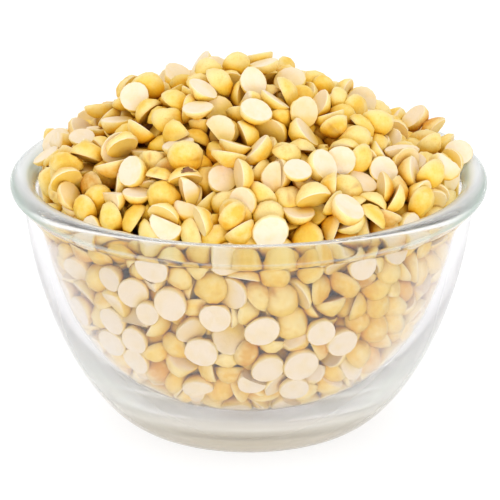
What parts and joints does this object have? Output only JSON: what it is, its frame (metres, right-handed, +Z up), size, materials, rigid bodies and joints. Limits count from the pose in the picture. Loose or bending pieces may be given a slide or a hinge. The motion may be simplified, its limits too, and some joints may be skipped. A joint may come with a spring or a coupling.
{
  "type": "bowl of roasted gram",
  "caption": "Clear pressed-glass bowl with a rolled lip and a plain foot, heaped well above the rim with roasted, husked and split gram halves.",
  "frame": {"origin": "middle of the underside of the bowl's foot, on the table", "axes": "+Z up along the bowl's axis; the bowl is round, so +X and +Y are free, and the picture looks along +Y from the -Y side"},
  "size_m": [0.12, 0.12, 0.0933],
  "materials": {
    "clear_glass": "clear, fire-polished",
    "roasted_gram": "dry and matt, golden domes and cream cut faces"
  },
  "bodies": {
    "root": {"bowl": "clear_glass", "gram_heap": "roasted_gram"}
  },
  "joints": []
}
